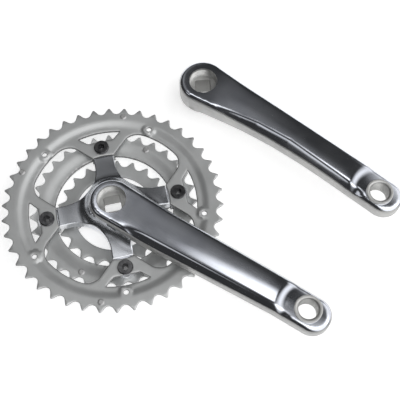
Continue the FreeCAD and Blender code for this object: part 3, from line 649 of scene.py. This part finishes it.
class Arm:
    """Plan and heights of one crank arm, in its own axes: x along it, y across it."""

    def __init__(self, name, height, hub, back_taper, back_height, waist, lean, ridge, spot, turn, body,
                 polish, length):
        self.name, self.height, self.hub = name, height, hub
        self.back_taper, self.back_height = back_taper, back_height
        self.waist, self.lean, self.ridge_table = waist, lean, ridge
        self.spot, self.turn, self.body, self.polish = np.asarray(spot, float), turn, body, polish
        self.length = length
        self.end, self.reach, self.rise = PEDAL_END_RADIUS, PEDAL_END_REACH, PEDAL_END_RISE
        self.level_start = length - self.end - 7.5

    def share(self, x):
        """How much of the slope from hub to pedal end is done at x."""
        return np.clip(np.asarray(x, float) / self.level_start, 0, 1)

    def sides(self, x):
        """The near and far edges at a distance along the arm."""
        share = self.share(x)
        shift = self.lean * np.clip(share * 3, 0, 1)
        half = self.hub + (self.end - self.hub) * share
        near = -(half - self.waist * np.sin(math.pi * share)) + shift
        return near, half + shift

    def outline(self):
        """The arm's plan as one closed loop."""
        step = 1.0
        tip = self.length + self.reach
        xs = np.arange(step, tip, step)
        near, far = self.sides(xs)
        end_low = np.column_stack([xs, near])
        end_high = np.column_stack([xs, far])[::-1]
        hub = arc(self.hub, 90, 270, step)
        nose = arc(self.end, -90, 90, step, centre=(tip, self.lean))
        return join(hub, end_low, nose, end_high)

    def base(self, x):
        """Height of the front face along the arm."""
        start, stop, bend = 12.0, self.level_start, 5.0
        slope = self.rise / (stop - start)
        up = soft_plus(np.asarray(x) - start, bend) - soft_plus(np.asarray(x) - stop, bend)
        return self.height + slope * up

    def under(self, x):
        """Height of the flat back along the arm."""
        end_back = self.height + self.rise - PEDAL_THICKNESS
        return BACK_AT_HUB + (end_back - BACK_AT_HUB) * self.share(x)

    def face(self, points, rim):
        """Height of the polished front: crowned, bevelled below its ridge and round its edge."""
        x, y = points[:, 0], points[:, 1]
        near, far = self.sides(np.clip(x, 0, self.length))
        middle = (near + far) / 2
        full = smooth(10.0, 45.0, x)
        crown = full * (y - middle - 1.5) ** 2 / (2 * CROWN_RADIUS)
        ridge = np.interp(x, *self.ridge_table)
        bevel_share = smooth(14.0, 40.0, x) * (1 - smooth(self.length - 16, self.length - 4, x))
        bevel = bevel_share * BEVEL_SLOPE * soft_plus(ridge - y, 0.5)
        far_bevel = full * FAR_BEVEL_SLOPE * soft_plus(y - (far - FAR_BEVEL_WIDTH), 0.4)
        lip = LIP_SLOPE * soft_plus(LIP_WIDTH - rim, 0.35)
        pedal = np.hypot(x - self.length, y)
        scallop = SCALLOP_DEPTH * (1 - smooth(17.0, 24.0, pedal)) * full
        return self.base(x) - crown - np.maximum(np.maximum(bevel, far_bevel), lip) - scallop

    def place(self, verts):
        """Vertices from the arm's axes to the frame."""
        verts = np.array(verts, float)
        verts[:, :2] = turn_points(verts[:, :2], self.turn) + self.spot[:2]
        verts[:, 2] += self.spot[2]
        return verts


EDGE_INSET = 0.9
# The forging's wall from front to back: how far inside the outline, then how far below the rim,
# or where that is None, how far above the back.
WALL_STEPS = [
    (0.45, -0.55, 0.0),
    (0.12, -1.3, 0.0),
    (0.0, -2.2, 0.0),
    (0.0, None, 1.2),
    (0.3, None, 0.35),
    (EDGE_INSET, None, 0.0),
]


def arm_shell(arm):
    """The forging: polished face, bevels, matte sides and flat back, open where the bores pass."""
    outline = arm.outline()
    normal = inward(outline)
    rim_loop = outline + normal * EDGE_INSET
    front_holes = [circle(11.5, count=72), circle(9.9, (arm.length, 0), 64)]
    points, faces, loops = triangulate(rim_loop, front_holes, 1.25, (0.4, 0.9, 1.5))
    top = arm.face(points, distance(points, [outline]))
    verts = [np.column_stack([points, top])]
    all_faces = faces.tolist()
    looks = [0] * len(faces)

    # The walls start from the rim loop's own points, which triangulate puts first.
    count = len(rim_loop)
    assert np.allclose(points[:count], loops[0], atol=1e-3)
    rim_top = top[:count]
    wall_foot = np.where(outline[:, 0] < 0, BACK_BEHIND_HUB, arm.under(outline[:, 0]))
    previous = list(range(count))
    total = len(points)
    for inset, drop, above in WALL_STEPS:
        height = wall_foot + above if drop is None else rim_top + drop
        verts.append(np.column_stack([outline + normal * inset, height]))
        current = list(range(total, total + count))
        total += count
        for i in range(count):
            j = (i + 1) % count
            all_faces.append([previous[i], current[i], current[j], previous[j]])
            looks.append(1)
        previous = current

    back_holes = [circle(14.0, count=64), circle(8.0, (arm.length, 0), 64)]
    back_points, back_faces, _ = triangulate(rim_loop, back_holes, 4.0, ())
    back_height = np.where(back_points[:, 0] < 0, BACK_BEHIND_HUB, arm.under(back_points[:, 0]))
    verts.append(np.column_stack([back_points, back_height]))
    all_faces += (back_faces[:, ::-1] + total).tolist()
    looks += [1] * len(back_faces)
    verts = arm.place(np.concatenate(verts))
    new_object(f"{arm.name}_forging", verts, all_faces, arm.body, "polished_arm", (arm.polish, forged),
               nodes=(arm.name,), sharp=42.0, look_of=looks)


def thread(radius, top, bottom, pitch, depth, count, centre=(0, 0)):
    """Loops down a bore with grooves that stand for a thread, as closed rings and not a helix."""
    land, groove = circle(radius, centre, count), circle(radius + depth, centre, count)
    loops = []
    height = top
    while height > bottom + pitch:
        loops += [lift(land, height), lift(land, height - pitch * 0.3)]
        loops += [lift(groove, height - pitch * 0.55), lift(groove, height - pitch * 0.7)]
        height -= pitch
    return loops + [lift(land, height), lift(land, bottom)]


def square_loop(half, count):
    """A square with round corners, standing on a corner, as points at even angles."""
    power = 12.0
    angle = np.arange(count) * 2 * math.pi / count
    across, along = np.abs(np.sin(angle - math.pi / 4)), np.abs(np.cos(angle - math.pi / 4))
    reach = (along ** power + across ** power) ** (-1 / power)
    return np.column_stack([np.cos(angle), np.sin(angle)]) * (half * reach)[:, None]


SQUARE_HALF = 6.35
SQUARE_TAPER = math.tan(math.radians(2.0))
RECESS_DEPTH = 9.0
EXTRACTOR_RADIUS, EXTRACTOR_PITCH = 11.0, 1.0
PEDAL_RADIUS, PEDAL_PITCH = 7.144, 1.27
LAND_RISE = 0.6
# How far the hub's outside stays within the forging's wall.
HUB_CLEARANCE = 0.03


def hub_core(arm, look):
    """The hub's turned recess, square socket and drafted back, as one closed shape."""
    count = 96
    top = arm.height
    floor = top - RECESS_DEPTH
    foot = SQUARE_HALF + SQUARE_TAPER * floor
    back = arm.hub - arm.back_taper
    shoulder = max(arm.back_height + 0.5, 14.0)

    def ring(radius, height):
        return lift(circle(radius, count=count), height)

    def square(half, height):
        return lift(square_loop(half, count), height)

    loops = [ring(12.4, top - 0.9), ring(11.9, top - 0.12), ring(11.55, top), ring(11.35, top - 0.05)]
    loops += thread(EXTRACTOR_RADIUS, top - 0.6, floor + 0.8, EXTRACTOR_PITCH, 0.4, count)
    loops += [ring(11.2, floor), ring(9.6, floor)]
    loops += [square(SQUARE_HALF + 0.25, floor), square(SQUARE_HALF, floor - 0.3)]
    loops += [square(foot, 0.3), square(foot + 0.3, 0.0)]
    loops += [ring(back - 0.6, 0.0), ring(back, 0.4)]
    rise = np.linspace(0, 1, 7)[1:]
    for share in rise:
        radius = arm.hub - arm.back_taper * (1 - share) ** 1.6
        loops.append(ring(radius - HUB_CLEARANCE, 0.4 + (arm.back_height - 0.4) * share))
    loops += [ring(arm.hub - HUB_CLEARANCE, shoulder), ring(arm.hub - 2.0, shoulder + 0.5)]
    loops += [ring(12.4, shoulder + 1)]
    verts, faces = loft(loops)
    faces = [face[::-1] for face in faces]
    # Each band lies between a loop and the next: from out_band on is the forged outside.
    out_band = len(loops) - len(rise) - 4
    square_band = out_band - 4
    looks = []
    for band in range(len(loops)):
        looks += [1 if band >= out_band else 2 if band in (square_band, square_band + 1) else 0] * count
    new_object(f"{arm.name}_hub", arm.place(verts), faces, arm.body, "polished_arm",
               (look, forged, socket_look), sharp=35.0, look_of=looks)


def pedal_core(arm, look):
    """The machined land and threaded bore for the pedal, as one closed shape."""
    count = 72
    top = arm.height + arm.rise + LAND_RISE
    bottom = top - LAND_RISE - PEDAL_THICKNESS
    centre = (arm.length, 0)

    def ring(radius, height):
        return lift(circle(radius, centre, count), height)

    loops = [ring(10.2, top - 3.0), ring(10.2, top - 0.35), ring(9.95, top - 0.05), ring(9.6, top)]
    loops += [ring(8.3, top), ring(8.05, top - 0.12), ring(7.5, top - 0.75)]
    loops += thread(PEDAL_RADIUS, top - 1.2, bottom + 0.8, PEDAL_PITCH, 0.45, count, centre)
    loops += [ring(7.5, bottom), ring(9.4, bottom), ring(9.4, bottom + 0.3), ring(9.6, top - 4.0)]
    verts, faces = loft(loops)
    faces = [face[::-1] for face in faces]
    new_object(f"{arm.name}_pedal_boss", arm.place(verts), faces, arm.body, "polished_arm", (look,),
               sharp=35.0)


def spider():
    """Four tapering arms round the hub, the ring tabs on their ends, and the small ring's posts."""
    half, fillet = 8.0, 27.0
    low = middle_box[0][2] + PLATE
    tab_top = outer_box[0][2]
    shoulder = BOLT_RADIUS - 7.8
    reach = math.sqrt(shoulder ** 2 - half ** 2)
    corner = half + fillet
    runs = []
    for quarter in range(4):
        bend = arc(fillet, 270, 180, EDGE_STEP, centre=(corner, corner))
        end = np.array([(half, reach), (-half, reach)])
        runs.append(turn_points(np.concatenate([[(reach, half)], bend, end]), 45 + 90 * quarter))
    outline = even(join(*runs), EDGE_STEP)
    beam = right_arm.outline()

    def top(points):
        radius = np.linalg.norm(points, axis=1)
        height = tab_top + 2.2 + 1.0 * smooth(44.0, 26.0, radius)
        height = height + 3.4 * (1 - smooth(15.0, 27.0, radius))
        edge = 0.3 * (1 - smooth(0.0, 0.5, distance(points, [outline])))
        from_beam = np.where(inside(points, beam), 0.0, distance(points, [beam]))
        return height - edge + 5.0 * np.exp(-from_beam / 2.8)

    def bottom(points):
        return low + 0.4 * (1 - smooth(0.0, 0.7, distance(points, [outline])))

    finish = {"body": RIGHT, "slot": "polished_arm", "looks": (spider_look,)}
    plate("right_crank_spider", outline, [circle(13.5)], top, bottom, 1.6, (0.2, 0.45, 0.8), **finish)

    tab_half = 7.3
    tab_root = shoulder - 6
    end = arc(tab_half, -90, 90, centre=(BOLT_RADIUS, 0))
    tab = even(join([(tab_root, -tab_half)], end, [(tab_root, tab_half)]), 0.9)
    # Radius and height round a post's section, from its seat on the inner ring to the spider.
    post_seat, post_root = inner_box[1][2], low + 0.5
    profile = [(INNER_BOLT_HOLE, post_seat), (5.9, post_seat), (6.2, post_seat + 0.3), (6.2, post_root),
               (INNER_BOLT_HOLE, post_root)]
    for number, angle in enumerate(BOLT_ANGLES, start=1):
        hole = circle(SLEEVE_HOLE, polar(BOLT_RADIUS, angle))
        plate(f"right_crank_tab_{number}", turn_points(tab, angle), [hole],
              lambda points: np.full(len(points), tab_top), lambda points: np.full(len(points), low),
              2.5, (0.4,), **finish)
        centre = polar(INNER_BOLT_RADIUS, angle)
        verts, faces = loft([lift(circle(radius, centre), height) for radius, height in profile])
        new_object(f"right_crank_post_{number}", verts, faces, **finish)


outer_ring()
middle_ring()
inner_ring()

left_low = box_mm("left_crank_arm")[0][2]
left_spot = mount_mm("left_spindle_socket")
left_pedal = mount_mm("left_pedal_thread")
left_turn = math.degrees(math.atan2(left_pedal[1] - left_spot[1], left_pedal[0] - left_spot[0]))
right_length = float(mount_mm("right_pedal_thread")[0])
left_length = float(np.hypot(*(left_pedal - left_spot)[:2]))
# A ridge is the distance across the arm at distances along it.
right_arm = Arm("right_crank_arm", height=26.0, hub=17.5, back_taper=3.5, back_height=7.0, waist=0.0,
                lean=-0.8, ridge=([0, 30, 90, 130, 170], [-12.5, -11.5, -10.5, -10.0, -10.0]),
                spot=(0, 0, 0), turn=0.0, body=RIGHT, polish=polish_right, length=right_length)
left_arm = Arm("left_crank_arm", height=30.0, hub=19.6, back_taper=7.0, back_height=14.0, waist=5.0,
               lean=0.8, ridge=([0, 30, 60, 90, 130, 170], [-13.0, -11.0, -5.5, -3.5, -6.0, -8.5]),
               spot=(left_spot[0], left_spot[1], left_low), turn=left_turn, body=LEFT,
               polish=polish_left, length=left_length)
for arm, tag in ((right_arm, "right"), (left_arm, "left")):
    arm_shell(arm)
    hub_core(arm, machined(f"turned_hub_{tag}", arm.place([[0, 0, 0]])[0]))
    pedal_core(arm, machined(f"turned_pedal_{tag}", arm.place([[arm.length, 0, 0]])[0]))
spider()

for node, obj in frame["nodes"].items():
    if "bolt" in node or "nut" in node:
        finish_look = black_look
    elif "pin" in node:
        finish_look = pin_look
    else:
        continue
    obj.data.materials.clear()
    obj.data.materials.append(finish_look)


# ------------------------------------------------------------- stage

# Metres from here on.
FLOOR_HALF = 30.0
FLOOR_GAP = 0.00005
floor_mesh = bpy.data.meshes.new("floor")
corners = [(FLOOR_HALF * x, FLOOR_HALF * y, 0) for x, y in ((-1, -1), (1, -1), (1, 1), (-1, 1))]
floor_mesh.from_pydata(corners, [], [(0, 1, 2, 3)])
floor = bpy.data.objects.new("floor", floor_mesh)
floor.location = (0.05, 0.05, float(cad_box[0][2]) - FLOOR_GAP)
bpy.context.scene.collection.objects.link(floor)
floor_look = bpy.data.materials.new("pale_floor")
g = Graph(floor_look)
place = g.add("ShaderNodeTexCoord").outputs["Object"]
tone = g.mix(g.noise(place, 6.0, 3.0), (0.93, 0.93, 0.93, 1), (0.96, 0.96, 0.96, 1))
# Some light of its own makes the floor as white as the photo's background.
surface = g.add("ShaderNodeBsdfPrincipled", {"Base Color": tone, "Roughness": 0.9,
                                             "Specular IOR Level": 0.1,
                                             "Emission Color": (1, 1, 1, 1), "Emission Strength": 0.5})
g.add("ShaderNodeOutputMaterial", {"Surface": surface.outputs[0]})
floor_mesh.materials.append(floor_look)


def direction(azimuth, elevation):
    """Unit vector at an azimuth and elevation in degrees."""
    turn, tilt = math.radians(azimuth), math.radians(elevation)
    return (math.cos(tilt) * math.cos(turn), math.cos(tilt) * math.sin(turn), math.sin(tilt))


world = bpy.data.worlds.new("studio")
bpy.context.scene.world = world
g = Graph(world)
sky = g.add("ShaderNodeTexCoord").outputs["Generated"]
# Azimuth, elevation, inner and outer half-angle, and strength of each soft patch of light.
PATCHES = [
    (149, 73, 3, 10, 1.5),
    (143, 41, 9, 20, 0.10),
    (160, 63, 7, 20, 0.15),
    (224, 49, 3, 12, 0.7),
    (-18, 50, 28, 50, 1.15),
    (50, 35, 24, 42, 0.95),
    (-58, 72, 6, 20, 1.0),
]
AMBIENT = 0.035
total = AMBIENT
for azimuth, elevation, near, far, strength in PATCHES:
    facing = g.add("ShaderNodeVectorMath", {0: sky, 1: direction(azimuth, elevation)}, operation="DOT_PRODUCT")
    dark_edge, full_edge = math.cos(math.radians(far)), math.cos(math.radians(near))
    blob = g.spread(facing.outputs["Value"], dark_edge, full_edge, 0.0, strength)
    total = g.maths("ADD", total, blob)
background = g.add("ShaderNodeBackground", {"Color": (1, 1, 1, 1), "Strength": total})
g.add("ShaderNodeOutputWorld", {"Surface": background.outputs[0]})

camera_data = bpy.data.cameras.new("camera")
camera_data.sensor_width = 36.0
camera_data.lens = 68.18
camera_data.clip_start = 0.01
camera = bpy.data.objects.new("camera", camera_data)
bpy.context.scene.collection.objects.link(camera)
# The photo's camera, worked out from the rings, the bolts and the two square sockets.
right_way = Vector((0.84734, 0.53104, 0.00296))
up_way = Vector((-0.48866, 0.77751, 0.39584))
back_way = Vector((0.20790, -0.33686, 0.91832))
camera.matrix_world = Matrix.Translation((0.17864, -0.16004, 0.55890)) @ Matrix(
    (right_way, up_way, back_way)).transposed().to_4x4()
bpy.context.scene.camera = camera
bpy.context.scene.view_settings.view_transform = "Standard"
